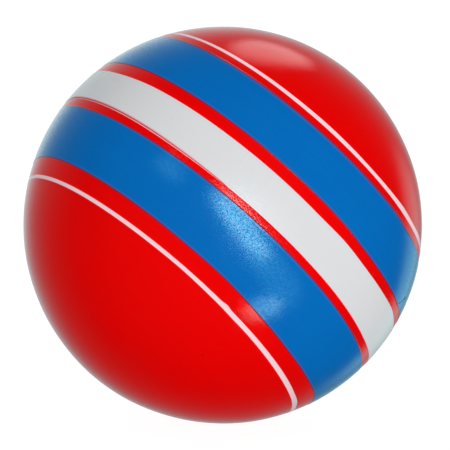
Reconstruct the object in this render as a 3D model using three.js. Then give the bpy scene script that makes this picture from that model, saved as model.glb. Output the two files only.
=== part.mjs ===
// A lacquered rubber juggling ball. Two moulded rubber halves are cemented together round a
// self-sealing pellet, blown up through it, coated in red enamel and banded in blue and white.
// Millimetres, +Z up, origin at the centre of the ball.
import * as THREE from 'three';

// Overall sizes.
const ballDiameter = 75;
const wallThickness = 3.2;
const stripeLean = THREE.MathUtils.degToRad(45); // between the stripes' axis and straight up

// Paint films, and the clearance that each bonded face keeps to the next.
const enamelFilm = 0.15;
const bandFilm = 0.1;
const pinlineFilm = 0.06;
const bondGap = 0.03;

// Painted bands, as widths along the surface.
const whiteWidth = 7.7;
const southBlueWidth = 11.15;
const northBlueWidth = 10.65;
const pinlineWidth = 0.95;
const southInnerGap = 1.5; // bare red between the white band and a blue one
const northInnerGap = 2.3;
const southOuterGap = 3.3; // bare red between a blue band and its pinline
const northOuterGap = 1.7;
const patternOffset = 1.2; // from the equator north to the middle of the white band

// The bevelled seam between the two halves.
const cementFilm = 0.3;
const seamBevel = THREE.MathUtils.degToRad(30);
const beadRadius = 0.8; // cement squeezed out on the inside

// The pellet, its pocket in the north half, and the track that the blowing needle left.
const pelletDiameter = 10;
const pelletThickness = 3;
const pelletBevel = 0.6;
const pelletFit = 0.15;
const pocketDepth = 2.2;
const pocketRim = 1.2;
const needleDiameter = 1;
const needleSealFit = 0.05;

// Facets shared by every turned piece, so that nested films stay parallel.
const turnedSegments = 40;
const facetStep = THREE.MathUtils.degToRad(9);
const beadSteps = 6;

// Sizes that follow from those above.
const ballRadius = ballDiameter / 2;
const enamelInside = ballRadius - enamelFilm;
const shellRadius = enamelInside - bondGap;
const hollowRadius = shellRadius - wallThickness;
const bandSeat = ballRadius + bondGap;
const needleRadius = needleDiameter / 2;
const pole = Math.PI / 2;

// One band of paint between two latitudes, from its south edge and its width along the surface.
function band(name, southEdge, width, film, paint) {
  const northEdge = southEdge + width;
  return { name, south: southEdge / ballRadius, north: northEdge / ballRadius, film, paint };
}

const redEnamel = { color: 0xd90707, roughness: 0.28, metalness: 0 };
const blueEnamel = { color: 0x0a63b4, roughness: 0.34, metalness: 0 };
const whiteEnamel = { color: 0xdcdfe2, roughness: 0.32, metalness: 0 };
const mouldedRubber = { color: 0x4a4138, roughness: 0.85, metalness: 0 };
const driedCement = { color: 0xa8823c, roughness: 0.6, metalness: 0 };
const rawRubber = { color: 0xb59a6a, roughness: 0.75, metalness: 0 };

const whiteSouth = patternOffset - whiteWidth / 2;
const whiteNorth = patternOffset + whiteWidth / 2;
const blueSouth = whiteSouth - southInnerGap - southBlueWidth;
const blueNorth = whiteNorth + northInnerGap;
const pinlineSouth = blueSouth - southOuterGap - pinlineWidth;
const pinlineNorth = blueNorth + northBlueWidth + northOuterGap;

const bands = [
  band('pinline_south', pinlineSouth, pinlineWidth, pinlineFilm, whiteEnamel),
  band('blue_band_south', blueSouth, southBlueWidth, bandFilm, blueEnamel),
  band('white_band', whiteSouth, whiteWidth, bandFilm, whiteEnamel),
  band('blue_band_north', blueNorth, northBlueWidth, bandFilm, blueEnamel),
  band('pinline_north', pinlineNorth, pinlineWidth, pinlineFilm, whiteEnamel),
];

// Latitudes of the shared facets: the poles, the seam and every band edge, filled in evenly
// so that no facet is taller than facetStep.
function sharedLatitudes() {
  const edges = bands.flatMap(({ south, north }) => [south, north]);
  const marks = [-pole, 0, pole, ...edges].sort((a, b) => a - b);
  const filled = marks.slice(1).flatMap((north, i) => {
    const south = marks[i];
    const rows = Math.ceil((north - south) / facetStep);
    return Array.from({ length: rows }, (_, row) => south + ((north - south) * (row + 1)) / rows);
  });
  return [-pole, ...filled];
}

const latitudes = sharedLatitudes();

// A corner of the facets: distance from the stripes' axis, then height along it.
function cornerPoint(radius, latitude) {
  return new THREE.Vector2(Math.max(0, radius * Math.cos(latitude)), radius * Math.sin(latitude));
}

// The point at any latitude on the facets of a ball of this radius, which lies on the straight
// line between the two corners beside it.
function facetPoint(radius, latitude) {
  const next = Math.max(1, latitudes.findIndex((corner) => corner >= latitude));
  const south = latitudes[next - 1];
  const share = (latitude - south) / (latitudes[next] - south);
  return cornerPoint(radius, south).lerp(cornerPoint(radius, latitudes[next]), share);
}

// The outline of the facets from one latitude to another, northwards or southwards.
function facetArc(radius, from, to) {
  const low = Math.min(from, to);
  const high = Math.max(from, to);
  const corners = latitudes.filter((corner) => corner > low && corner < high);
  const ordered = from < to ? corners : corners.reverse();
  return [
    facetPoint(radius, from),
    ...ordered.map((corner) => cornerPoint(radius, corner)),
    facetPoint(radius, to),
  ];
}

// The latitude where a ball of this radius has this height along the axis.
function latitudeAtHeight(radius, height) {
  return Math.asin(height / radius);
}

// The latitude where a hole or boss of this radius round the north pole meets the ball.
function latitudeAtHole(radius, holeRadius) {
  return Math.acos(holeRadius / radius);
}

function turned(outline) {
  return new THREE.LatheGeometry(outline, turnedSegments);
}

// A ring whose outline closes on itself.
function turnedRing(outline) {
  return turned([...outline, outline[0]]);
}

// The bevel drops from the outside of the wall to the inside, so the halves centre themselves.
const bevelDrop = wallThickness * Math.tan(seamBevel);
const facingHeight = cementFilm / 2 + bondGap;

function southHalf() {
  const outerEdge = latitudeAtHeight(shellRadius, -facingHeight);
  const innerEdge = latitudeAtHeight(hollowRadius, -facingHeight - bevelDrop);
  return turned([
    ...facetArc(shellRadius, -pole, outerEdge),
    ...facetArc(hollowRadius, innerEdge, -pole),
  ]);
}

// Height of the flat seat that the pellet is bonded to, inside the north pole.
const pocketRadius = pelletDiameter / 2 + pelletFit;
const rimRadius = pocketRadius + pocketRim;
const seatHeight = facetPoint(hollowRadius, latitudeAtHole(hollowRadius, pocketRadius)).y;

function northHalf() {
  const outerEdge = latitudeAtHeight(shellRadius, facingHeight);
  const innerEdge = latitudeAtHeight(hollowRadius, facingHeight - bevelDrop);
  return turnedRing([
    ...facetArc(shellRadius, outerEdge, latitudeAtHole(shellRadius, needleRadius)),
    new THREE.Vector2(needleRadius, seatHeight),
    new THREE.Vector2(pocketRadius, seatHeight),
    new THREE.Vector2(pocketRadius, seatHeight - pocketDepth),
    new THREE.Vector2(rimRadius, seatHeight - pocketDepth),
    ...facetArc(hollowRadius, latitudeAtHole(hollowRadius, rimRadius), innerEdge),
  ]);
}

// A bevelled washer of cement with the bead that was squeezed out into the hollow.
function cementRing() {
  const beadSurface = hollowRadius - bondGap;
  const at = (radius, height) => latitudeAtHeight(radius, height);
  const middle = facetPoint(beadSurface, at(beadSurface, -bevelDrop));
  const roundBead = Array.from({ length: beadSteps - 1 }, (_, step) => {
    const turn = (Math.PI * (step + 1)) / beadSteps;
    const reach = beadRadius * Math.sin(turn);
    return new THREE.Vector2(middle.x - reach, middle.y + beadRadius * Math.cos(turn));
  });
  const half = cementFilm / 2;
  return turnedRing([
    ...facetArc(shellRadius, at(shellRadius, -half), at(shellRadius, half)),
    ...facetArc(beadSurface, at(beadSurface, half - bevelDrop), at(beadSurface, middle.y + beadRadius)),
    ...roundBead,
    ...facetArc(beadSurface, at(beadSurface, middle.y - beadRadius), at(beadSurface, -half - bevelDrop)),
  ]);
}

function pellet() {
  const radius = pelletDiameter / 2;
  const top = seatHeight - bondGap;
  const bottom = top - pelletThickness;
  return turned([
    new THREE.Vector2(0, bottom),
    new THREE.Vector2(radius - pelletBevel, bottom),
    new THREE.Vector2(radius, bottom + pelletBevel),
    new THREE.Vector2(radius, top),
    new THREE.Vector2(0, top),
  ]);
}

// The drop of cement that fills the needle's track, flush with the enamel round it.
function needleSeal() {
  const radius = needleRadius - needleSealFit;
  const top = facetPoint(ballRadius, latitudeAtHole(ballRadius, needleRadius)).y;
  const bottom = seatHeight;
  return turned([
    new THREE.Vector2(0, bottom),
    new THREE.Vector2(radius, bottom),
    new THREE.Vector2(radius, top),
    new THREE.Vector2(0, top),
  ]);
}

// The red coat covers everything but the needle's mark.
function enamelCoat() {
  return turned([
    ...facetArc(ballRadius, -pole, latitudeAtHole(ballRadius, needleRadius)),
    ...facetArc(enamelInside, latitudeAtHole(enamelInside, needleRadius), -pole),
  ]);
}

function bandRing({ south, north, film }) {
  return turnedRing([...facetArc(bandSeat + film, south, north), ...facetArc(bandSeat, north, south)]);
}

// The pieces are turned about their own Y, so one group stands that axis up and the next leans it.
const standing = new THREE.Group();
standing.rotation.x = Math.PI / 2;

function addPiece(name, geometry, finish) {
  const mesh = new THREE.Mesh(geometry, new THREE.MeshStandardMaterial(finish));
  mesh.name = name;
  standing.add(mesh);
}

addPiece('half_shell_south', southHalf(), mouldedRubber);
addPiece('half_shell_north', northHalf(), mouldedRubber);
addPiece('seam_cement', cementRing(), driedCement);
addPiece('sealing_pellet', pellet(), rawRubber);
addPiece('needle_seal', needleSeal(), driedCement);
addPiece('base_enamel', enamelCoat(), redEnamel);
bands.forEach((painted) => addPiece(painted.name, bandRing(painted), painted.paint));

const ball = new THREE.Group();
ball.name = 'juggling_ball';
ball.rotation.y = stripeLean;
ball.add(standing);

export default ball;
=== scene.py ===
"""A lacquered rubber juggling ball: red enamel banded in blue and white over two cemented rubber
halves. Everything is in metres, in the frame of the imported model, with the ball's centre at the
origin and +Z up."""
import math

import bpy
import numpy as np
from mathutils import Matrix, Vector


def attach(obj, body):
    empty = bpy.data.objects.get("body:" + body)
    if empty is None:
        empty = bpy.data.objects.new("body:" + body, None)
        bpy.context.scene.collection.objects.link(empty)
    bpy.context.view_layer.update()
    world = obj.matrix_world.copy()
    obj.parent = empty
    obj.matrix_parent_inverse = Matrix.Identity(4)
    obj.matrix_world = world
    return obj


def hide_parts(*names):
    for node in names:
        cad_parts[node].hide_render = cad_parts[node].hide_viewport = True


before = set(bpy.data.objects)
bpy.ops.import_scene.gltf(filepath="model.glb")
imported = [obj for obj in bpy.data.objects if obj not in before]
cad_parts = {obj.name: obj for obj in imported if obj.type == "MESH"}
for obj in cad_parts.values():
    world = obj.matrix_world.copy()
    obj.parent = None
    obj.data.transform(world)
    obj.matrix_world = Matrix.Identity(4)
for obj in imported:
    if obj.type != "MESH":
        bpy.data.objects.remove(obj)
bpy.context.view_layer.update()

MM = 0.001


# ---------------------------------------------------------------- the frame's sizes and directions

def node_points(node):
    """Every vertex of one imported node, as rows of x, y, z."""
    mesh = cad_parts[node].data
    points = np.empty(len(mesh.vertices) * 3, np.float32)
    mesh.vertices.foreach_get("co", points)
    return points.reshape(-1, 3).astype(float)


def unit(vector):
    """The vector divided by its length."""
    return np.asarray(vector, float) / np.linalg.norm(vector)


def farthest(node):
    """Distance from the ball's centre to the outermost vertex of a node."""
    return float(np.linalg.norm(node_points(node), axis=1).max())


def nearest(node):
    """Distance from the ball's centre to the innermost vertex of a node."""
    return float(np.linalg.norm(node_points(node), axis=1).min())


BALL_RADIUS = farthest("base_enamel")
ENAMEL_INSIDE = nearest("base_enamel")
SHELL_RADIUS = farthest("half_shell_south")

# The stripes' axis runs from the centre to the sealing pellet. UPPER is the highest side of the
# stripes and FRONT is a quarter turn on from it, so longitudes start at UPPER and grow to FRONT.
AXIS = unit(node_points("sealing_pellet").mean(axis=0))
UPPER = unit(np.array([0.0, 0.0, 1.0]) - AXIS[2] * AXIS)
FRONT = np.cross(AXIS, UPPER)


def latitude_span(node):
    """Lowest and highest latitude of a node's vertices about the stripes' axis, in radians."""
    points = node_points(node)
    latitudes = np.arcsin(points @ AXIS / np.linalg.norm(points, axis=1))
    return float(latitudes.min()), float(latitudes.max())


# ---------------------------------------------------------------- camera

CAMERA_AZIMUTH = math.radians(-24.9)
CAMERA_ELEVATION = math.radians(6.0)
CAMERA_DISTANCE = 18 * BALL_RADIUS
BALL_SHARE = 0.8842  # of the picture's width
AIM_RIGHT = 0.42 * MM  # how far to the right of the ball's centre the camera looks


def toward(azimuth, elevation):
    """Unit vector from the ball's centre; azimuth 0 is the front, along -Y, and 90 degrees is +X."""
    return Vector((
        math.sin(azimuth) * math.cos(elevation),
        -math.cos(azimuth) * math.cos(elevation),
        math.sin(elevation),
    ))


def add_camera():
    """A long lens that the ball's outline fills to BALL_SHARE of the width."""
    data = bpy.data.cameras.new("camera")
    outline = math.tan(math.asin(BALL_RADIUS / CAMERA_DISTANCE))
    data.lens = data.sensor_width / 2 * BALL_SHARE / outline
    camera = bpy.data.objects.new("camera", data)
    back = toward(CAMERA_AZIMUTH, CAMERA_ELEVATION)
    aim = (-back).to_track_quat("-Z", "Y")
    camera.rotation_mode = "QUATERNION"
    camera.rotation_quaternion = aim
    camera.location = back * CAMERA_DISTANCE + aim @ Vector((AIM_RIGHT, 0, 0))
    bpy.context.scene.collection.objects.link(camera)
    bpy.context.scene.camera = camera


# ---------------------------------------------------------------- lights and surroundings

LIGHT_DISTANCE = 0.6

# Name, azimuth, elevation, long and short side in degrees as the ball sees them, roll of the long
# side from level, brightness against white card at 1, share of the half width over which its edge
# fades, brightness gained from its middle to its upper end, and red against its green and blue.
SOFTBOXES = (
    ("window_softbox", -14.2, 6.2, 58, 16, 125, 9.1, 0.5, 0.2, 0.7),
    ("window_tail", 4, -20, 56, 19, 132, 1.5, 0.5, 0.3, 0.4),
    ("low_card", 2.2, -40.0, 22, 15, 20, 4.6, 0.3, 0.4, 0.7),
    ("top_softbox", 135.8, 48.5, 34, 24, 91, 1.45, 0.4, 0.0, 1.0),
    ("faint_card", -59, 36, 28, 12, 150, 2.0, 0.8, 0.0, 0.4),
    ("side_card", 117, -13, 66, 32, 108, 0.5, 0.6, 0.0, 0.5),
)
AMBIENT = 0.54  # brightness of the even light that fills the paint from all sides
BACKDROP_LEFT = math.radians(12)  # the backdrop is brightest a little to the left of the ball
BACKDROP_UP = math.radians(4)
BACKDROP_RED = 0.45  # share of red in its dimmest part, and again what the brightest part gains
BACKDROP_BLUE = 1.03

# The backdrop's brightness against how squarely it is faced, from side on at 0 to square at 1.
BACKDROP_FADE = (
    (0.0, 0.0), (0.3, 0.01), (0.55, 0.07), (0.72, 0.17), (0.86, 0.35), (0.95, 0.62), (1.0, 0.88),
)

# Azimuth, elevation and strength of the broad lights that brighten the paint.
FRONT_FILL = math.radians(-7), math.radians(5), 1.95
BACK_FILL = math.radians(165), math.radians(20), 0.9
FILL_SPREAD = math.radians(40)

FLOOR_REACH = 3.0  # from its middle to each side
FLOOR_SHADE = 0.12  # its paint, dark enough that the lights hardly change it
FLOOR_GLOW = 0.96


def soften(data, brightness, fade, tilt, red):
    """Gives a softbox a bright middle that fades to nothing at its rim, and a change in brightness
    from one end of its long side to the other."""
    data.use_nodes = True
    tree = data.node_tree
    tree.nodes.clear()
    where = tree.nodes.new("ShaderNodeNewGeometry")
    centred = tree.nodes.new("ShaderNodeVectorMath")
    centred.operation = "MULTIPLY_ADD"
    centred.inputs[1].default_value = (2, 2, 0)
    centred.inputs[2].default_value = (-1, -1, 0)
    tree.links.new(where.outputs["Parametric"], centred.inputs[0])
    far = tree.nodes.new("ShaderNodeVectorMath")
    far.operation = "LENGTH"
    tree.links.new(centred.outputs[0], far.inputs[0])
    rim = tree.nodes.new("ShaderNodeMapRange")
    rim.interpolation_type = "SMOOTHSTEP"
    rim.inputs["From Min"].default_value = 1
    rim.inputs["From Max"].default_value = 1 - fade
    tree.links.new(far.outputs["Value"], rim.inputs["Value"])
    along = tree.nodes.new("ShaderNodeSeparateXYZ")
    tree.links.new(centred.outputs[0], along.inputs[0])
    lean = tree.nodes.new("ShaderNodeMath")
    lean.operation = "MULTIPLY_ADD"
    lean.inputs[1].default_value = tilt * brightness
    lean.inputs[2].default_value = brightness
    tree.links.new(along.outputs["X"], lean.inputs[0])
    strength = tree.nodes.new("ShaderNodeMath")
    strength.operation = "MULTIPLY"
    tree.links.new(rim.outputs["Result"], strength.inputs[0])
    tree.links.new(lean.outputs[0], strength.inputs[1])
    glow = tree.nodes.new("ShaderNodeEmission")
    glow.inputs["Color"].default_value = (red, 1, 1, 1)
    tree.links.new(strength.outputs[0], glow.inputs["Strength"])
    out = tree.nodes.new("ShaderNodeOutputLight")
    tree.links.new(glow.outputs[0], out.inputs["Surface"])


def add_softbox(name, azimuth, elevation, long_side, short_side, roll, brightness, fade, tilt, red):
    """A soft oval light that faces the ball and shows in its gloss, sized by the angles it fills."""
    data = bpy.data.lights.new(name, "AREA")
    data.shape = "ELLIPSE"
    data.size = 2 * LIGHT_DISTANCE * math.tan(math.radians(long_side) / 2)
    data.size_y = 2 * LIGHT_DISTANCE * math.tan(math.radians(short_side) / 2)
    oval_area = data.size * data.size_y * math.pi / 4
    data.energy = math.pi * oval_area  # a strength of 1 in its nodes then glows at 1
    soften(data, brightness, fade, tilt, red)
    light = bpy.data.objects.new(name, data)
    out = toward(math.radians(azimuth), math.radians(elevation))
    side = Vector((0, 0, 1)).cross(out).normalized()
    up = out.cross(side)
    turn = math.radians(roll)
    long_axis = side * math.cos(turn) + up * math.sin(turn)
    short_axis = out.cross(long_axis)
    light.matrix_world = Matrix.Translation(out * LIGHT_DISTANCE) @ Matrix(
        (long_axis, short_axis, out)
    ).transposed().to_4x4()
    light.visible_camera = False
    light.visible_diffuse = False
    bpy.context.scene.collection.objects.link(light)


def add_fill(name, azimuth, elevation, strength):
    """Broad light from one side that brightens the paint without showing in the gloss."""
    data = bpy.data.lights.new(name, "SUN")
    data.energy = strength
    data.angle = FILL_SPREAD
    light = bpy.data.objects.new(name, data)
    light.rotation_mode = "QUATERNION"
    light.rotation_quaternion = toward(azimuth, elevation).to_track_quat("Z", "Y")
    light.visible_glossy = False
    light.visible_camera = False
    bpy.context.scene.collection.objects.link(light)


def add_world():
    """White all round to the eye. The ball is filled evenly with soft light, and mirrors a pale
    backdrop behind it that fades out towards the sides."""
    world = bpy.data.worlds.new("studio")
    bpy.context.scene.world = world
    world.use_nodes = True
    world.cycles.sampling_method = "NONE"
    nodes, links = world.node_tree.nodes, world.node_tree.links
    nodes.clear()
    where = nodes.new("ShaderNodeTexCoord")
    facing = nodes.new("ShaderNodeVectorMath")
    facing.operation = "DOT_PRODUCT"
    facing.inputs[1].default_value = toward(math.pi + CAMERA_AZIMUTH + BACKDROP_LEFT, BACKDROP_UP)
    links.new(where.outputs["Generated"], facing.inputs[0])
    fade = nodes.new("ShaderNodeValToRGB")
    fade.color_ramp.interpolation = "B_SPLINE"
    while len(fade.color_ramp.elements) < len(BACKDROP_FADE):
        fade.color_ramp.elements.new(0.5)
    for element, (place, level) in zip(fade.color_ramp.elements, BACKDROP_FADE):
        element.position = place
        red = level * (BACKDROP_RED + BACKDROP_RED * level)
        element.color = (red, level, level * BACKDROP_BLUE, 1)
    links.new(facing.outputs["Value"], fade.inputs["Fac"])
    path = nodes.new("ShaderNodeLightPath")
    mirrored = nodes.new("ShaderNodeMix")
    mirrored.data_type = "RGBA"
    mirrored.inputs["A"].default_value = (AMBIENT, AMBIENT, AMBIENT, 1)
    links.new(path.outputs["Is Glossy Ray"], mirrored.inputs["Factor"])
    links.new(fade.outputs["Color"], mirrored.inputs["B"])
    seen = nodes.new("ShaderNodeMix")
    seen.data_type = "RGBA"
    seen.inputs["B"].default_value = (1, 1, 1, 1)
    links.new(path.outputs["Is Camera Ray"], seen.inputs["Factor"])
    links.new(mirrored.outputs["Result"], seen.inputs["A"])
    sky = nodes.new("ShaderNodeBackground")
    links.new(seen.outputs["Result"], sky.inputs["Color"])
    out = nodes.new("ShaderNodeOutputWorld")
    links.new(sky.outputs["Background"], out.inputs["Surface"])


def add_floor(height):
    """A wide pale sheet, bright enough that only the contact shadow shows on it."""
    mesh = bpy.data.meshes.new("pale_floor")
    square = np.array([(-1, -1, 0), (1, -1, 0), (1, 1, 0), (-1, 1, 0)])
    corners = square * FLOOR_REACH + (0, 0, height)
    mesh.from_pydata(corners, [], [(0, 1, 2, 3)])
    floor = bpy.data.objects.new("pale_floor", mesh)
    material = bpy.data.materials.new("pale_floor")
    material.use_nodes = True
    shader = material.node_tree.nodes["Principled BSDF"]
    shader.inputs["Base Color"].default_value = (FLOOR_SHADE, FLOOR_SHADE, FLOOR_SHADE, 1)
    shader.inputs["Roughness"].default_value = 1
    shader.inputs["Specular IOR Level"].default_value = 0
    shader.inputs["Emission Color"].default_value = (1, 1, 1, 1)
    shader.inputs["Emission Strength"].default_value = FLOOR_GLOW
    mesh.materials.append(material)
    floor.visible_diffuse = False
    floor.visible_glossy = False
    floor.visible_shadow = False
    bpy.context.scene.collection.objects.link(floor)


# ---------------------------------------------------------------- surfaces

SETTLE = 0.0019  # share that the resting ball is wider, and less tall, than a true sphere
SWELLS = 24
SWELL_HEIGHT = 0.006 * MM
SWELL_LENGTHS = 9, 30  # the shortest and longest wave, in millimetres
SWELL_SEED = 7


def swell_waves():
    """Directions, wave numbers and phases of the shallow swells left by the mould."""
    random = np.random.default_rng(SWELL_SEED)
    directions = random.normal(size=(SWELLS, 3))
    directions /= np.linalg.norm(directions, axis=1, keepdims=True)
    lengths = random.uniform(*SWELL_LENGTHS, SWELLS) * MM
    return directions * (2 * math.pi / lengths)[:, None], random.uniform(0, 2 * math.pi, SWELLS)


SWELL_VECTORS, SWELL_PHASES = swell_waves()


def moulded_radius(direction):
    """Distance from the centre to the ball's surface: its radius, with a small second-order term
    for the settled shape, plus a sum of sine waves across space for the swells."""
    settled = 1 + SETTLE * (1 - 2 * direction[..., 2] ** 2)
    waves = np.sin(direction @ (SWELL_VECTORS.T * BALL_RADIUS) + SWELL_PHASES)
    return BALL_RADIUS * settled + SWELL_HEIGHT * waves.sum(axis=-1)


def about_axis(latitude, longitude):
    """Unit vectors at latitudes and longitudes about the stripes' axis."""
    latitude, longitude = np.broadcast_arrays(latitude, longitude)
    level = np.cos(longitude)[..., None] * UPPER + np.sin(longitude)[..., None] * FRONT
    return np.sin(latitude)[..., None] * AXIS + np.cos(latitude)[..., None] * level


def on_ball(latitude, longitude, height):
    """Points at a height above the moulded surface."""
    direction = about_axis(latitude, longitude)
    return direction * (moulded_radius(direction) + height)[..., None]


def round_longitudes(columns):
    """Evenly spaced longitudes, once round."""
    return np.arange(columns) * (2 * math.pi / columns)


def woven(points, loop=False, first_pole=None, last_pole=None, cover=1.0):
    """Vertices, faces and each vertex's paint cover, for a closed surface over a grid of points,
    rows by columns. The columns run right round. The rows run right round too if loop is set, or
    end in fans round the pole points. The faces look outwards when the rows climb an outer surface
    and the columns turn anticlockwise about the direction of climb."""
    rows, columns = points.shape[:2]
    index = np.arange(rows * columns).reshape(rows, columns)
    below = index if loop else index[:-1]
    above = np.roll(index, -1, axis=0) if loop else index[1:]
    quads = np.stack([below, np.roll(below, -1, 1), np.roll(above, -1, 1), above], -1).reshape(-1, 4)
    vertices = [points.reshape(-1, 3)]
    covers = [np.broadcast_to(cover, (rows, columns)).ravel()]
    faces = quads.tolist()
    if not loop:
        first, last = index[0], index[-1]
        vertices += [np.reshape(first_pole, (1, 3)), np.reshape(last_pole, (1, 3))]
        covers += [covers[0][first].mean(keepdims=True), covers[0][last].mean(keepdims=True)]
        count = np.full(columns, rows * columns)
        faces += np.stack([count, np.roll(first, -1), first], -1).tolist()
        faces += np.stack([count + 1, last, np.roll(last, -1)], -1).tolist()
    return np.concatenate(vertices), faces, np.concatenate(covers)


def add_piece(name, node, slot, *parts):
    """One object from parts, each a woven surface and its material. It rides on the ball's only
    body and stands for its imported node."""
    mesh = bpy.data.meshes.new(name)
    skins = [skin for skin, _ in parts]
    starts = np.cumsum([0] + [len(vertices) for vertices, _, _ in skins]).tolist()
    faces = [
        [corner + start for corner in face]
        for (_, part_faces, _), start in zip(skins, starts)
        for face in part_faces
    ]
    mesh.from_pydata(np.concatenate([vertices for vertices, _, _ in skins]), [], faces)
    mesh.polygons.foreach_set("use_smooth", np.ones(len(faces), bool))
    cover = mesh.attributes.new("cover", "FLOAT", "POINT")
    covers = np.concatenate([part_covers for _, _, part_covers in skins])
    cover.data.foreach_set("value", covers.astype(np.float32))
    materials = list(dict.fromkeys(material for _, material in parts))
    for material in materials:
        mesh.materials.append(material)
    paints = [
        np.full(len(part_faces), materials.index(material))
        for (_, part_faces, _), material in parts
    ]
    mesh.polygons.foreach_set("material_index", np.concatenate(paints))
    piece = bpy.data.objects.new(name, mesh)
    bpy.context.scene.collection.objects.link(piece)
    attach(piece, "root")
    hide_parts(node)


# ---------------------------------------------------------------- material effects

# Scales of the noises, in waves per metre.
GRAIN_SCALE = 4800.0
DIMPLE_SCALE = 900.0
RIPPLE_SCALE = 160.0
SHEEN_SCALE = 3100.0
STREAK_SCALE = 900.0
PATCH_SCALE = 90.0
SPECK_SCALE = 1100.0

NOISE_SWING = 0.2
SHEEN_LEAST = 0.1  # share of the sheen that is there even between its speckles
BRUSH_DRAG = (0.06, 0.06, 1.0)  # the streaks are drawn out round the stripes' axis
SPECK_EDGE = 0.04


def new_group(name, inputs, outputs):
    """An empty shader node group with float or vector sockets, named in the order given."""
    group = bpy.data.node_groups.new(name, "ShaderNodeTree")
    for socket, kind, value in inputs:
        made = group.interface.new_socket(socket, in_out="INPUT", socket_type=kind)
        if value is not None:
            made.default_value = value
    for socket, kind in outputs:
        group.interface.new_socket(socket, in_out="OUTPUT", socket_type=kind)
    return group, group.nodes.new("NodeGroupInput"), group.nodes.new("NodeGroupOutput")


def add_node(tree, kind, **settings):
    """A new node of a tree, with its settings."""
    node = tree.nodes.new(kind)
    for key, value in settings.items():
        setattr(node, key, value)
    return node


def math_node(tree, operation, first, second):
    """A sum or product of two inputs, each a socket or a number."""
    node = add_node(tree, "ShaderNodeMath", operation=operation)
    for socket, value in zip(node.inputs, (first, second)):
        if isinstance(value, (int, float)):
            socket.default_value = value
        else:
            tree.links.new(value, socket)
    return node.outputs[0]


def noise(tree, vector, scale, detail=2.0, roughness=0.5):
    """Noise that varies from about 0.25 to 0.75, at a scale in waves per metre."""
    node = add_node(tree, "ShaderNodeTexNoise")
    node.inputs["Scale"].default_value = scale
    node.inputs["Detail"].default_value = detail
    node.inputs["Roughness"].default_value = roughness
    tree.links.new(vector, node.inputs["Vector"])
    return node.outputs["Fac"]


def spread(tree, value, low, high):
    """Stretches noise to run from low to high as it goes from a swing under a half to one over."""
    node = add_node(tree, "ShaderNodeMapRange")
    node.inputs["From Min"].default_value = 0.5 - NOISE_SWING
    node.inputs["From Max"].default_value = 0.5 + NOISE_SWING
    node.inputs["To Min"].default_value = low
    node.inputs["To Max"].default_value = high
    tree.links.new(value, node.inputs["Value"])
    return node.outputs["Result"]


def orange_peel_group():
    """A sprayed lacquer's skin. Its height has fine grain, softer dimples and slow ripples, and its
    sheen is speckled, from a trace of the sheen given up to all of it."""
    group, given, out = new_group(
        "orange peel",
        (
            ("Vector", "NodeSocketVector", None),
            ("Grain", "NodeSocketFloat", 1.0),
            ("Dimples", "NodeSocketFloat", 1.0),
            ("Ripples", "NodeSocketFloat", 1.0),
            ("Sheen", "NodeSocketFloat", 0.0),
        ),
        (("Height", "NodeSocketFloat"), ("Sheen", "NodeSocketFloat")),
    )
    vector = given.outputs["Vector"]
    fine = noise(group, vector, GRAIN_SCALE, 0.0)
    grain = math_node(group, "MULTIPLY", fine, given.outputs["Grain"])
    soft = noise(group, vector, DIMPLE_SCALE, 1.0)
    dimples = math_node(group, "MULTIPLY", soft, given.outputs["Dimples"])
    slow = noise(group, vector, RIPPLE_SCALE, 0.0)
    ripples = math_node(group, "MULTIPLY", slow, given.outputs["Ripples"])
    total = math_node(group, "ADD", math_node(group, "ADD", grain, dimples), ripples)
    group.links.new(total, out.inputs["Height"])
    speckled = spread(group, noise(group, vector, SHEEN_SCALE, 1.0), SHEEN_LEAST, 1.0)
    sheen = math_node(group, "MULTIPLY", speckled, given.outputs["Sheen"])
    group.links.new(sheen, out.inputs["Sheen"])
    return group


def brushed_paint_group():
    """Paint that was brushed on while the ball turned: streaks along the stripes and slow patches,
    each from 0 to 1 about a half, and a mask of rare specks."""
    group, given, out = new_group(
        "brushed paint",
        (("Vector", "NodeSocketVector", None), ("Speck Rarity", "NodeSocketFloat", 0.85)),
        (
            ("Streaks", "NodeSocketFloat"),
            ("Patches", "NodeSocketFloat"),
            ("Specks", "NodeSocketFloat"),
        ),
    )
    vector = given.outputs["Vector"]
    squeeze = add_node(group, "ShaderNodeVectorMath", operation="MULTIPLY")
    squeeze.inputs[1].default_value = BRUSH_DRAG
    group.links.new(vector, squeeze.inputs[0])
    streaks = noise(group, squeeze.outputs[0], STREAK_SCALE, 3.0, 0.6)
    group.links.new(streaks, out.inputs["Streaks"])
    group.links.new(noise(group, vector, PATCH_SCALE), out.inputs["Patches"])
    spots = noise(group, vector, SPECK_SCALE, 0.0)
    rarity = given.outputs["Speck Rarity"]
    speck = add_node(group, "ShaderNodeMapRange")
    group.links.new(rarity, speck.inputs["From Min"])
    group.links.new(math_node(group, "ADD", rarity, SPECK_EDGE), speck.inputs["From Max"])
    group.links.new(spots, speck.inputs["Value"])
    group.links.new(speck.outputs["Result"], out.inputs["Specks"])
    return group


ORANGE_PEEL = orange_peel_group()
BRUSHED_PAINT = brushed_paint_group()


def use_group(tree, group, vector, **values):
    """A group placed in a material. Each value's name is its input's, with _ for a space."""
    node = add_node(tree, "ShaderNodeGroup", node_tree=group)
    tree.links.new(vector, node.inputs["Vector"])
    for key, value in values.items():
        node.inputs[key.replace("_", " ")].default_value = value
    return node


def stripe_space(tree):
    """Object coordinates turned so that their Z runs along the stripes' axis."""
    where = add_node(tree, "ShaderNodeTexCoord")
    mapping = add_node(tree, "ShaderNodeMapping", vector_type="POINT")
    mapping.inputs["Rotation"].default_value = Matrix((UPPER, FRONT, AXIS)).to_euler("XYZ")
    tree.links.new(where.outputs["Object"], mapping.inputs["Vector"])
    return mapping.outputs["Vector"]


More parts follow.
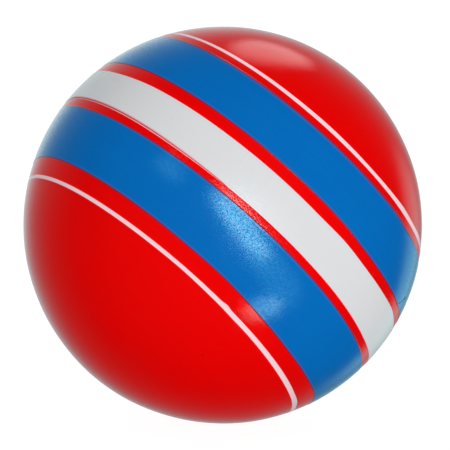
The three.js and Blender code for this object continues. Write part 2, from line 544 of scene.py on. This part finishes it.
def mix_colour(tree, factor, first, second):
    """The first colour at a factor of 0 and the second at 1; each colour is a socket or red, green
    and blue."""
    node = add_node(tree, "ShaderNodeMix", data_type="RGBA")
    tree.links.new(factor, node.inputs["Factor"])
    for name, colour in (("A", first), ("B", second)):
        if isinstance(colour, bpy.types.NodeSocket):
            tree.links.new(colour, node.inputs[name])
        else:
            node.inputs[name].default_value = (*colour, 1)
    return node.outputs["Result"]


LACQUER_IOR = 1.5
LACQUER_ROUGHNESS = 0.16  # of the clear top coat, whose grain is too fine to make out
PEEL_DEPTH = 0.01 * MM
STREAK_SHARE = 0.35  # of the streak colour, where the brush left most of it
PATCH_SHARE = 0.25
PATCHY_GLOSS = 0.15  # share by which the roughness rises and falls


def enamel(name, colours, rarity, gloss_tint, chalk, roughness, skin):
    """Gloss enamel under lacquer: brushed colour, rare specks, and an orange-peel skin. The colours
    are those of the paint, its streaks, its thin film and its specks. Where the piece's cover is
    low the film is thin, and the thin colour shows instead. The skin is its grain, dimples,
    ripples and sheen."""
    colour, streak_colour, thin_colour, speck_colour = colours
    grain, dimples, ripples, sheen = skin
    material = bpy.data.materials.new(name)
    material.use_nodes = True
    tree = material.node_tree
    shader = tree.nodes["Principled BSDF"]
    shader.inputs["IOR"].default_value = LACQUER_IOR
    shader.inputs["Specular Tint"].default_value = (*gloss_tint, 1)
    shader.inputs["Diffuse Roughness"].default_value = chalk
    shader.inputs["Coat Roughness"].default_value = LACQUER_ROUGHNESS
    space = stripe_space(tree)
    paint = use_group(tree, BRUSHED_PAINT, space, Speck_Rarity=rarity)
    streaks = spread(tree, paint.outputs["Streaks"], 0.0, STREAK_SHARE)
    streaked = mix_colour(tree, streaks, colour, streak_colour)
    patches = spread(tree, paint.outputs["Patches"], 0.0, PATCH_SHARE)
    patched = mix_colour(tree, patches, streaked, streak_colour)
    cover = add_node(
        tree, "ShaderNodeAttribute", attribute_name="cover", attribute_type="GEOMETRY"
    )
    feathered = mix_colour(tree, cover.outputs["Fac"], thin_colour, patched)
    specked = mix_colour(tree, paint.outputs["Specks"], feathered, speck_colour)
    tree.links.new(specked, shader.inputs["Base Color"])
    smoothest = roughness * (1 - PATCHY_GLOSS)
    roughest = roughness * (1 + PATCHY_GLOSS)
    uneven = spread(tree, paint.outputs["Patches"], smoothest, roughest)
    tree.links.new(uneven, shader.inputs["Roughness"])
    peel = use_group(
        tree, ORANGE_PEEL, space, Grain=grain, Dimples=dimples, Ripples=ripples, Sheen=sheen
    )
    tree.links.new(peel.outputs["Sheen"], shader.inputs["Coat Weight"])
    bump = add_node(tree, "ShaderNodeBump")
    bump.inputs["Distance"].default_value = PEEL_DEPTH
    tree.links.new(peel.outputs["Height"], bump.inputs["Height"])
    tree.links.new(bump.outputs["Normal"], shader.inputs["Normal"])
    return material


RUBBER_DEPTH = 0.04 * MM
MOTTLE_SHARE = 0.8  # of the bloom's colour, in the palest patches
DUST_SHARE = 0.25
UNEVEN_RUBBER = 0.08


def rubber(name, colour, bloom_colour, roughness, grain_scale):
    """Moulded or dried rubber: mottled, with a faint bloom and a fine matt grain."""
    material = bpy.data.materials.new(name)
    material.use_nodes = True
    tree = material.node_tree
    shader = tree.nodes["Principled BSDF"]
    space = stripe_space(tree)
    paint = use_group(tree, BRUSHED_PAINT, space)
    patches = paint.outputs["Patches"]
    mottles = spread(tree, patches, 0.0, MOTTLE_SHARE)
    mottled = mix_colour(tree, mottles, colour, bloom_colour)
    dust = spread(tree, noise(tree, space, grain_scale), 0.0, DUST_SHARE)
    dusted = mix_colour(tree, dust, mottled, bloom_colour)
    tree.links.new(dusted, shader.inputs["Base Color"])
    uneven = spread(tree, patches, roughness - UNEVEN_RUBBER, roughness + UNEVEN_RUBBER)
    tree.links.new(uneven, shader.inputs["Roughness"])
    bump = add_node(tree, "ShaderNodeBump")
    bump.inputs["Distance"].default_value = RUBBER_DEPTH
    tree.links.new(noise(tree, space, grain_scale, 3.0), bump.inputs["Height"])
    tree.links.new(bump.outputs["Normal"], shader.inputs["Normal"])
    return material


RED_ENAMEL = enamel(
    "red enamel",
    colours=((0.82, 0.0, 0.0), (0.76, 0.0, 0.0), (0.82, 0.0, 0.0), (0.5, 0.01, 0.01)),
    rarity=0.86,
    gloss_tint=(0.8, 1.0, 0.96),
    chalk=0.0,
    roughness=0.1,
    skin=(1.5, 0.6, 0.8, 0.0),
)
BLUE_ENAMEL = enamel(
    "blue enamel",
    colours=((0.0, 0.148, 0.49), (0.0, 0.125, 0.45), (0.22, 0.008, 0.04), (0.05, 0.2, 0.5)),
    rarity=0.92,
    gloss_tint=(0.0, 0.4, 0.4),
    chalk=0.2,
    roughness=0.07,
    skin=(2.0, 0.5, 0.8, 1.0),
)
WHITE_ENAMEL = enamel(
    "white enamel",
    colours=((0.69, 0.695, 0.71), (0.655, 0.67, 0.69), (0.84, 0.06, 0.09), (0.5, 0.5, 0.5)),
    rarity=0.92,
    gloss_tint=(1.0, 1.0, 1.0),
    chalk=0.3,
    roughness=0.24,
    skin=(2.0, 0.8, 0.8, 0.0),
)
THIN_WHITE_ENAMEL = enamel(
    "thin white enamel",
    colours=((0.9, 0.65, 0.69), (0.88, 0.61, 0.65), (0.84, 0.06, 0.09), (0.7, 0.3, 0.3)),
    rarity=0.92,
    gloss_tint=(1.0, 1.0, 1.0),
    chalk=0.3,
    roughness=0.2,
    skin=(2.0, 0.8, 0.8, 0.0),
)
# A near-black red for the thin dark line drawn along the gap beside the white band's sliver.
DARK_GAP_ENAMEL = enamel(
    "dark gap line",
    colours=((0.09, 0.0, 0.01), (0.07, 0.0, 0.008), (0.2, 0.0, 0.0), (0.02, 0.0, 0.0)),
    rarity=0.9,
    gloss_tint=(0.5, 0.5, 0.5),
    chalk=0.0,
    roughness=0.3,
    skin=(3.0, 1.4, 1.0, 0.0),
)
BRISTLE = enamel(
    "bristle",
    colours=((0.0, 0.03, 0.12), (0.0, 0.02, 0.08), (0.0, 0.03, 0.12), (0.0, 0.02, 0.08)),
    rarity=0.9,
    gloss_tint=(1.0, 1.0, 1.0),
    chalk=0.0,
    roughness=0.3,
    skin=(1.0, 0.0, 0.0, 0.0),
)
MOULDED_RUBBER = rubber("moulded rubber", (0.05, 0.04, 0.035), (0.12, 0.1, 0.085), 0.8, 900.0)
DRIED_CEMENT = rubber("dried cement", (0.36, 0.2, 0.05), (0.5, 0.33, 0.12), 0.5, 500.0)
RAW_RUBBER = rubber("raw rubber", (0.42, 0.3, 0.13), (0.52, 0.4, 0.22), 0.65, 700.0)


# ---------------------------------------------------------------- paint films

POLE = math.pi / 2
NEEDLE_RADIUS = 0.5 * MM
BAND_THICKNESS = 0.05 * MM
PINLINE_THICKNESS = 0.035 * MM
DARK_LINE_THICKNESS = 0.022 * MM
SHOULDER = 0.16 * MM  # width over which a film's edge rounds off
SUNK = 0.01 * MM  # how far a film is bedded into the enamel below it
GATHERED = 0.3  # how much thicker a film is at its crest, where paint gathers inside the edge
CREST_PLACE = 1.4  # shoulders in from the edge
RING_COLUMNS = 720

# Rows up a film's outside, and how many of them each row of its underside stands for.
RING_GRID = 46, 6
STROKE_GRID = 9, 2

COAT_COLUMNS = 320
COAT_ROWS = 190
COAT_INSIDE_ROWS = 60

# The low lip round the needle's mark.
LIP_ROWS = 14
LIP_ZONE = 0.05  # radians below the mark where the rows close up
LIP_PLACE = 0.25 * MM
LIP_WIDTH = 0.18 * MM
LIP_HEIGHT = 0.03 * MM


def red_coat():
    """The all-over enamel: an outer surface from the south pole up to the lip of the needle's
    mark, and the inner surface back down to the south pole. The lip is a low bell curve."""
    mark = POLE - NEEDLE_RADIUS / BALL_RADIUS
    columns = round_longitudes(COAT_COLUMNS)[None, :]
    below = np.linspace(-POLE, mark - LIP_ZONE, COAT_ROWS)[1:]
    closing = mark - LIP_ZONE * np.linspace(1, 0, LIP_ROWS)[1:] ** 2
    outside = np.concatenate([below, closing])
    from_crest = BALL_RADIUS * (mark - outside) - LIP_PLACE
    lip = LIP_HEIGHT * np.exp(-((from_crest / LIP_WIDTH) ** 2))
    inside = np.linspace(mark, -POLE, COAT_INSIDE_ROWS)[:-1]
    depth = ENAMEL_INSIDE - BALL_RADIUS
    outer = on_ball(outside[:, None], columns, lip[:, None])
    inner = on_ball(inside[:, None], columns, np.full((len(inside), 1), depth))
    south = about_axis(np.array(-POLE), np.array(0.0))
    top = south * moulded_radius(south)
    bottom = south * (moulded_radius(south) + depth)
    return woven(np.concatenate([outer, inner]), first_pole=top, last_pole=bottom)


def strayed(latitude, longitudes, edge):
    """An edge latitude at each longitude: its circle, plus slow cosine waves round the ball, each
    given as waves in a turn, size and crest, and local wobbles, each a bell curve given as its
    middle, its reach and its size. All angles are in degrees."""
    waves, wobbles = edge
    degrees = np.degrees(longitudes)
    slow = sum(size * np.cos(np.radians(count * (degrees - crest))) for count, size, crest in waves)
    offsets = [(degrees - middle + 180) % 360 - 180 for middle, _, _ in wobbles]
    bells = zip(offsets, wobbles)
    local = sum(size * np.exp(-((offset / reach) ** 2)) for offset, (_, reach, size) in bells)
    return latitude + np.radians(slow + local)


def shoulder(distance, width):
    """Rises from 0 at a film's edge to 1 over the width, as a quarter circle does."""
    inward = np.clip(distance / width, 0, 1)
    return np.sqrt(1 - (1 - inward) ** 2)


def film(south, north, longitudes, thickness, grid, south_feather, north_feather, opacity=1.0):
    """Points and cover of a film's skin between two edge latitudes, given at each longitude: up its
    outside from south to north, and back along its underside. The outside is thickest just inside
    each edge, where paint gathers, and the underside is bedded into the coat below. The cover
    climbs smoothly from nothing at each edge over that edge's feather."""
    rows, under_step = grid
    share = (1 - np.cos(np.linspace(0, math.pi, rows)))[:, None] / 2
    top = south + (north - south) * share
    from_south = BALL_RADIUS * (top - south)
    from_north = BALL_RADIUS * (north - top)
    to_edge = np.minimum(from_south, from_north)
    edge_width = np.minimum(SHOULDER, BALL_RADIUS * (north - south) / 2)
    from_crest = (to_edge - CREST_PLACE * edge_width) / edge_width
    gathered = 1 + GATHERED * np.exp(-(from_crest ** 2))
    over = on_ball(top, longitudes, thickness * shoulder(to_edge, edge_width) * gathered - SUNK)
    back = top[-2:0:-under_step]
    under = on_ball(back, longitudes, np.full_like(back, -2 * SUNK))
    inward = np.clip(np.minimum(from_south / south_feather, from_north / north_feather), 0, 1)
    cover = opacity * inward ** 2 * (3 - 2 * inward)
    return np.concatenate([over, under]), np.concatenate([cover, cover[-2:0:-under_step]])


def painted_ring(node, edges, thickness, feathers):
    """A band of paint right round the ball, between its packed latitudes with their wander."""
    longitudes = round_longitudes(RING_COLUMNS)[None, :]
    sides = [
        strayed(latitude, longitudes, edge) for latitude, edge in zip(latitude_span(node), edges)
    ]
    skin, cover = film(*sides, longitudes, thickness, RING_GRID, *feathers)
    return woven(skin, loop=True, cover=cover)


def painted_stroke(south, north, longitudes, thickness, feather, opacity=1.0):
    """A short stroke of paint that ends at its first and last longitude."""
    along = longitudes[None, :]
    skin, cover = film(south, north, along, thickness, STROKE_GRID, feather, feather, opacity)
    stations = np.swapaxes(skin, 0, 1)[:, ::-1]
    ends = stations[0].mean(axis=0), stations[-1].mean(axis=0)
    return woven(stations, first_pole=ends[0], last_pole=ends[1], cover=cover.T[:, ::-1])


# Each edge's slow waves, then its wobbles.
PINLINE_SOUTH_EDGES = (
    (
        ((1, 0.41, -18),),
        ((77.7, 35, 0.17), (142.7, 12, 0.22), (67.7, 8, 0.1), (90, 4, -0.1)),
    ),
    (
        ((1, 0.13, -14),),
        ((7.7, 35, -0.04), (142.7, 5, 0.2), (85.5, 1.6, 0.3), (92, 6, -0.02), (77.7, 35, 0.08)),
    ),
)
BLUE_SOUTH_EDGES = (
    (
        ((0, -0.18, 0), (1, 0.09, 19), (2, 0.38, 9)),
        ((78, 12, 0.31), (23, 20, -0.16), (113, 12, -0.19), (143, 8, 0.31)),
    ),
    (
        ((0, 0.2, 0), (2, 0.22, 89)),
        ((8, 8, -0.17), (48, 20, 0.07), (128, 35, 0.05)),
    ),
)
WHITE_EDGES = (
    (
        ((1, 0.25, 3),),
        ((48, 20, -0.36), (113, 35, 0.21), (10, 22, -0.2), (33, 22, -0.19), (148, 12, 0.5)),
    ),
    (
        ((0, 0.07, 0), (1, 0.47, 151)),
        ((8, 12, -0.3), (98, 20, -0.42), (133, 8, 0.34), (98, 8, 0.4)),
    ),
)
BLUE_NORTH_EDGES = (
    (
        ((0, -0.22, 0), (1, 0.13, -6)),
        (
            (113, 12, -0.31), (143, 5, 0.44), (73, 20, 0.12), (-2, 20, -0.18),
            (102.7, 5, -0.2), (97.7, 12, 0.1),
        ),
    ),
    (
        ((0, 0.26, 0), (1, 0.34, 139)),
        ((63, 20, 0.12), (-2, 12, 0.22), (118, 5, -0.29), (113, 8, 0.15)),
    ),
)
PINLINE_NORTH_EDGES = (
    (
        ((1, 0.1, 161),),
        ((40, 40, 0.08), (143, 12, 0.5), (0, 20, 0.14), (92.7, 35, -0.09)),
    ),
    (
        ((1, 0.46, 137),),
        ((93, 12, -0.35), (3, 8, 0.38), (133, 5, 0.34), (112.7, 5, 0.2), (107.7, 8, -0.12)),
    ),
)

# Widths over which the paint thins out at each band's south and north edge.
PINLINE_FEATHERS = 0.12 * MM, 0.12 * MM
BLUE_SOUTH_FEATHERS = 0.5 * MM, 0.5 * MM
BLUE_NORTH_FEATHERS = 0.5 * MM, 0.9 * MM
WHITE_SOUTH_FEATHER = 0.16 * MM
WHITE_NORTH_FEATHER = 0.14 * MM

# A bristle from the brush, caught in the northern blue: its longitudes and latitudes in degrees.
BRISTLE_LONGITUDES = 134.2, 140.4
BRISTLE_LATITUDES = 10.9, 15.7
BRISTLE_WIDTH = 0.06 * MM  # to each side of its middle
BRISTLE_THICKNESS = 1.7 * BAND_THICKNESS
BRISTLE_FEATHER = 0.01 * MM
BRISTLE_STATIONS = 40
BRISTLE_BEND = 1.4  # 1 is a straight line

# The second pass of the white band stopped short of the first along part of its south edge. It
# left a sliver of the first pass outside a gap, drawn as a thin dark line.
SLIVER_START = math.radians(-13)
SLIVER_END = math.radians(62)
SLIVER_STATIONS = 260
SLIVER_THICKNESS = 0.6 * BAND_THICKNESS
SLIVER_FEATHER = 0.03 * MM
SLIVER_OPACITY = 0.3, 1.0  # at its start and end
SLIVER_LEAST = 0.05  # degrees of latitude, as are the next two
PASS_INSET = 0.4, 0.38  # how far in the second pass stops, at the sliver's start and end
GAP_WIDTH = 0.13, 0.03  # at the sliver's start and end
PASS_OPENS = 0.06  # shares of the sliver's length over which the second pass draws in and returns
PASS_CLOSES = 0.35
FULL_INSET = 0.36  # beyond it the second pass has its softest edge
SOFTENED = 0.3 * MM  # added to the white band's south feather there
# The dark line along the gap is a near-black red strip laid over the coat for most of the sliver.
DARK_LINE_END = math.radians(54)
DARK_LINE_OVERLAP = 0.8  # share of the sliver's width where the dark line starts
DARK_LINE_WIDTH = 0.27  # degrees of latitude
DARK_LINE_TAPER = 0.5  # radians over which it narrows to the least share of its width, given next
DARK_LINE_LEAST = 0.1
DARK_LINE_FEATHER = 0.02 * MM


def second_pass(longitudes):
    """How far in the second pass stops, in degrees of latitude: nearly the same all along the
    sliver, and falling to nothing at both ends as a square root does."""
    along = (longitudes - SLIVER_START) / (SLIVER_END - SLIVER_START)
    ends = np.clip(np.minimum(along / PASS_OPENS, (1 - along) / PASS_CLOSES), 0, 1)
    first, last = PASS_INSET
    return (first + (last - first) * np.clip(along, 0, 1)) * np.sqrt(ends)


def white_band():
    """The white band's main film, the thin sliver of its first pass, and the dark line between them.
    """
    around = round_longitudes(RING_COLUMNS)
    around = (around + math.pi) % (2 * math.pi) - math.pi
    south, north = latitude_span("white_band")
    outer, inner = WHITE_EDGES
    drawn_in = second_pass(around)
    kept = strayed(south, around, outer) + np.radians(drawn_in)
    edges = kept[None, :], strayed(north, around, inner)[None, :]
    feather = WHITE_SOUTH_FEATHER + SOFTENED * np.minimum(drawn_in / FULL_INSET, 1)
    feathers = feather[None, :], WHITE_NORTH_FEATHER
    main, cover = film(*edges, around[None, :], BAND_THICKNESS, RING_GRID, *feathers)

    along = np.linspace(SLIVER_START, SLIVER_END, SLIVER_STATIONS)
    edge = strayed(south, along, outer)
    gap = np.linspace(*GAP_WIDTH, SLIVER_STATIONS)
    width = np.radians(np.clip(second_pass(along) - gap, SLIVER_LEAST, None))
    opacity = np.linspace(*SLIVER_OPACITY, SLIVER_STATIONS)
    sliver = painted_stroke(edge, edge + width, along, SLIVER_THICKNESS, SLIVER_FEATHER, opacity)

    # A thin near-black red line drawn along the gap, starting just inside the sliver's upper edge.
    in_dark_line = along < DARK_LINE_END
    taper = np.clip((DARK_LINE_END - along[in_dark_line]) / DARK_LINE_TAPER, DARK_LINE_LEAST, 1)
    low = (edge + width * DARK_LINE_OVERLAP)[in_dark_line]
    high = low + np.radians(DARK_LINE_WIDTH * taper)
    dark_line = painted_stroke(low, high, along[in_dark_line], DARK_LINE_THICKNESS, DARK_LINE_FEATHER)
    return (
        (woven(main, loop=True, cover=cover), WHITE_ENAMEL),
        (sliver, THIN_WHITE_ENAMEL),
        (dark_line, DARK_GAP_ENAMEL),
    )


def caught_bristle():
    """A stroke that lies over the blue and curves from one corner of its patch to the other, as a
    power of its longitude."""
    share = np.linspace(0, 1, BRISTLE_STATIONS)
    start, end = BRISTLE_LATITUDES
    middle = np.radians(start + (end - start) * share ** BRISTLE_BEND)
    half = BRISTLE_WIDTH / BALL_RADIUS
    along = np.radians(np.linspace(*BRISTLE_LONGITUDES, BRISTLE_STATIONS))
    return painted_stroke(middle - half, middle + half, along, BRISTLE_THICKNESS, BRISTLE_FEATHER)


def add_paint():
    """The coat, then the pinlines and blue bands from south to north, then the white band."""
    add_piece("red_coat", "base_enamel", "red_enamel", (red_coat(), RED_ENAMEL))
    south_line = painted_ring(
        "pinline_south", PINLINE_SOUTH_EDGES, PINLINE_THICKNESS, PINLINE_FEATHERS
    )
    add_piece(
        "south_pinline_paint", "pinline_south", "white_enamel", (south_line, THIN_WHITE_ENAMEL)
    )
    south_blue = painted_ring(
        "blue_band_south", BLUE_SOUTH_EDGES, BAND_THICKNESS, BLUE_SOUTH_FEATHERS
    )
    add_piece("south_blue_paint", "blue_band_south", "blue_enamel", (south_blue, BLUE_ENAMEL))
    north_blue = painted_ring(
        "blue_band_north", BLUE_NORTH_EDGES, BAND_THICKNESS, BLUE_NORTH_FEATHERS
    )
    add_piece(
        "north_blue_paint", "blue_band_north", "blue_enamel",
        (north_blue, BLUE_ENAMEL), (caught_bristle(), BRISTLE),
    )
    north_line = painted_ring(
        "pinline_north", PINLINE_NORTH_EDGES, PINLINE_THICKNESS, PINLINE_FEATHERS
    )
    add_piece(
        "north_pinline_paint", "pinline_north", "white_enamel", (north_line, THIN_WHITE_ENAMEL)
    )
    add_piece("white_paint", "white_band", "white_enamel", *white_band())


# ---------------------------------------------------------------- inner pieces

HOLLOW_RADIUS = nearest("half_shell_south")
CEMENT_FILM = 0.3 * MM
BOND_GAP = 0.03 * MM
SEAM_BEVEL = math.radians(30)
BEVEL_DROP = (SHELL_RADIUS - HOLLOW_RADIUS) * math.tan(SEAM_BEVEL)
BEAD_RADIUS = 0.8 * MM
POCKET_DEPTH = 2.2 * MM
POCKET_FIT = 0.15 * MM
POCKET_RIM = 1.2 * MM
TURNED_COLUMNS = 160
OUTSIDE_STEPS = 90
SOUTH_INSIDE_STEPS = 80
NORTH_INSIDE_STEPS = 70
SHARP_CORNER = math.radians(20)  # a gentler turn stays as it is
CORNER_STEPS = 4
LARGEST_CUT = 0.4  # share of a side that one corner may take
SHELL_EDGE = 0.12 * MM
CEMENT_FACE_STEPS = 3
CEMENT_INSIDE_STEPS = 4
BEAD_STEPS = 13
CROWN_STEPS = 9
PELLET_EDGE = 0.5 * MM
SEAL_EDGE = 0.05 * MM
SEAL_CROWN = 0.05 * MM
SEAL_BELOW = 0.02 * MM  # how far its rim stays below the ball's surface


def heights(node):
    """Lowest and highest height of a node along the stripes' axis."""
    along = node_points(node) @ AXIS
    return float(along.min()), float(along.max())


def widest(node):
    """The largest distance of a node's vertices from the stripes' axis."""
    points = node_points(node)
    return float(np.linalg.norm(points - (points @ AXIS)[:, None] * AXIS, axis=1).max())


PELLET_LOW, PELLET_HIGH = heights("sealing_pellet")
PELLET_RADIUS = widest("sealing_pellet")
SEAL_RADIUS = widest("needle_seal")
SEAT_HEIGHT = heights("needle_seal")[0]


def arc(radius, start, stop, steps):
    """An outline's points on a circle about the centre, from one latitude to another."""
    latitude = np.linspace(start, stop, steps)
    return np.stack([radius * np.cos(latitude), radius * np.sin(latitude)], -1)


def rounded(outline, radius):
    """An outline with each sharp corner cut back by the radius and replaced by a parabola that
    touches both sides. The outline closes on itself."""
    before = np.roll(outline, 1, axis=0) - outline
    after = np.roll(outline, -1, axis=0) - outline
    size_before = np.linalg.norm(before, axis=1, keepdims=True)
    size_after = np.linalg.norm(after, axis=1, keepdims=True)
    straight = -(before * after).sum(axis=1, keepdims=True) / (size_before * size_after)
    cut = np.where(straight < math.cos(SHARP_CORNER), 1.0, 0.0)
    start = outline + before / size_before * np.minimum(radius, size_before * LARGEST_CUT) * cut
    end = outline + after / size_after * np.minimum(radius, size_after * LARGEST_CUT) * cut
    share = np.linspace(0, 1, CORNER_STEPS)[None, :, None]
    from_start = (1 - share) ** 2 * start[:, None]
    from_corner = 2 * share * (1 - share) * outline[:, None]
    curve = from_start + from_corner + share ** 2 * end[:, None]
    keep = np.broadcast_to((cut > 0) | (np.arange(CORNER_STEPS) == 0)[None, :], curve.shape[:2])
    return curve[keep]


def rounded_open(outline, radius):
    """Rounds the corners of an outline whose two ends lie on the axis and stay where they are."""
    middle = rounded(outline, radius)
    first, last = outline[:1], outline[-1:]
    clear = radius * 1.01  # the rounding of an end, which is left out, reaches just this far
    from_first = np.linalg.norm(middle - first, axis=1)
    from_last = np.linalg.norm(middle - last, axis=1)
    inner = middle[(from_first > clear) & (from_last > clear)]
    return np.concatenate([first, inner, last])


def turned(outline, loop=False):
    """An outline of distances from the axis and heights along it, carried round the stripes' axis.
    Each point is then drawn in or out with the moulded surface above it, so that nested pieces
    stay nested. An outline that isn't a loop starts and ends on the axis."""
    around = round_longitudes(TURNED_COLUMNS)[None, :, None]
    level = np.cos(around) * UPPER + np.sin(around) * FRONT
    points = outline[:, 0, None, None] * level + outline[:, 1, None, None] * AXIS
    size = np.linalg.norm(points, axis=-1, keepdims=True)
    points = points * (moulded_radius(points / size) / BALL_RADIUS)[..., None]
    if loop:
        return woven(points, loop=True)
    return woven(points[1:-1], first_pole=points[0, 0], last_pole=points[-1, 0])


def south_half():
    """A moulded cup with a bevelled lip: up its outside, and back down its inside."""
    facing = CEMENT_FILM / 2 + BOND_GAP
    outer_lip = math.asin(-facing / SHELL_RADIUS)
    inner_lip = math.asin((-facing - BEVEL_DROP) / HOLLOW_RADIUS)
    outer = arc(SHELL_RADIUS, -POLE, outer_lip, OUTSIDE_STEPS)
    inner = arc(HOLLOW_RADIUS, inner_lip, -POLE, SOUTH_INSIDE_STEPS)
    return turned(rounded_open(np.concatenate([outer, inner]), SHELL_EDGE))


def north_half():
    """The other cup, with the needle's track through its pole and the pellet's pocket inside."""
    facing = CEMENT_FILM / 2 + BOND_GAP
    pocket = PELLET_RADIUS + POCKET_FIT
    rim = pocket + POCKET_RIM
    outer_lip = math.asin(facing / SHELL_RADIUS)
    inner_lip = math.asin((facing - BEVEL_DROP) / HOLLOW_RADIUS)
    track = math.acos(NEEDLE_RADIUS / SHELL_RADIUS)
    outer = arc(SHELL_RADIUS, outer_lip, track, OUTSIDE_STEPS)
    seat = np.array([
        (NEEDLE_RADIUS, SEAT_HEIGHT),
        (pocket, SEAT_HEIGHT),
        (pocket, SEAT_HEIGHT - POCKET_DEPTH),
        (rim, SEAT_HEIGHT - POCKET_DEPTH),
    ])
    inner = arc(HOLLOW_RADIUS, math.acos(rim / HOLLOW_RADIUS), inner_lip, NORTH_INSIDE_STEPS)
    return turned(rounded(np.concatenate([outer, seat, inner]), SHELL_EDGE), loop=True)


def cement_ring():
    """A bevelled washer of cement, with a half-round bead squeezed out into the hollow."""
    surface = HOLLOW_RADIUS - BOND_GAP
    half = CEMENT_FILM / 2
    outer = arc(SHELL_RADIUS, -half / SHELL_RADIUS, half / SHELL_RADIUS, CEMENT_FACE_STEPS)
    turn = np.linspace(0, math.pi, BEAD_STEPS)[:, None]
    middle = np.array([[math.sqrt(surface ** 2 - BEVEL_DROP ** 2), -BEVEL_DROP]])
    bead = middle + BEAD_RADIUS * np.concatenate([-np.sin(turn), np.cos(turn)], axis=1)
    bead[[0, -1], 0] = np.sqrt(surface ** 2 - bead[[0, -1], 1] ** 2)
    top, bead_top, bead_bottom, bottom = [
        math.asin(height / surface)
        for height in (half - BEVEL_DROP, bead[0, 1], bead[-1, 1], -half - BEVEL_DROP)
    ]
    upper = arc(surface, top, bead_top, CEMENT_INSIDE_STEPS)[:-1]
    lower = arc(surface, bead_bottom, bottom, CEMENT_INSIDE_STEPS)[1:]
    return turned(np.concatenate([outer, upper, bead, lower]), loop=True)


def plug(radius, bottom, top, crown, edge):
    """A turned plug with rounded edges. Its top rises to the crown as a parabola does."""
    across = np.linspace(1, 0, CROWN_STEPS)
    side = np.array([
        (0, bottom),
        (radius / 2, bottom),
        (radius, bottom),
        (radius, (bottom + top) / 2),
    ])
    roof = np.stack([radius * across, top + crown * (1 - across ** 2)], -1)
    return turned(rounded_open(np.concatenate([side, roof]), edge))


def add_inner_pieces():
    """All that lies under the paint, from the rubber halves to the drop on the needle's mark."""
    for name, node, shape in (
        ("south_rubber_half", "half_shell_south", south_half()),
        ("north_rubber_half", "half_shell_north", north_half()),
    ):
        add_piece(name, node, "moulded_rubber", (shape, MOULDED_RUBBER))
    add_piece("cement_seam", "seam_cement", "rubber_cement", (cement_ring(), DRIED_CEMENT))
    pellet = plug(PELLET_RADIUS, PELLET_LOW, PELLET_HIGH, 0.0, PELLET_EDGE)
    add_piece("rubber_pellet", "sealing_pellet", "raw_rubber", (pellet, RAW_RUBBER))
    seal_top = math.sqrt(BALL_RADIUS ** 2 - SEAL_RADIUS ** 2) - SEAL_BELOW
    seal = plug(SEAL_RADIUS, SEAT_HEIGHT, seal_top, SEAL_CROWN, SEAL_EDGE)
    add_piece("needle_mark_seal", "needle_seal", "rubber_cement", (seal, DRIED_CEMENT))


# ---------------------------------------------------------------- the scene

add_camera()
for softbox in SOFTBOXES:
    add_softbox(*softbox)
add_fill("front_fill", *FRONT_FILL)
add_fill("back_fill", *BACK_FILL)
add_world()
add_floor(-BALL_RADIUS)
bpy.context.scene.view_settings.view_transform = "Standard"
add_paint()
add_inner_pieces()
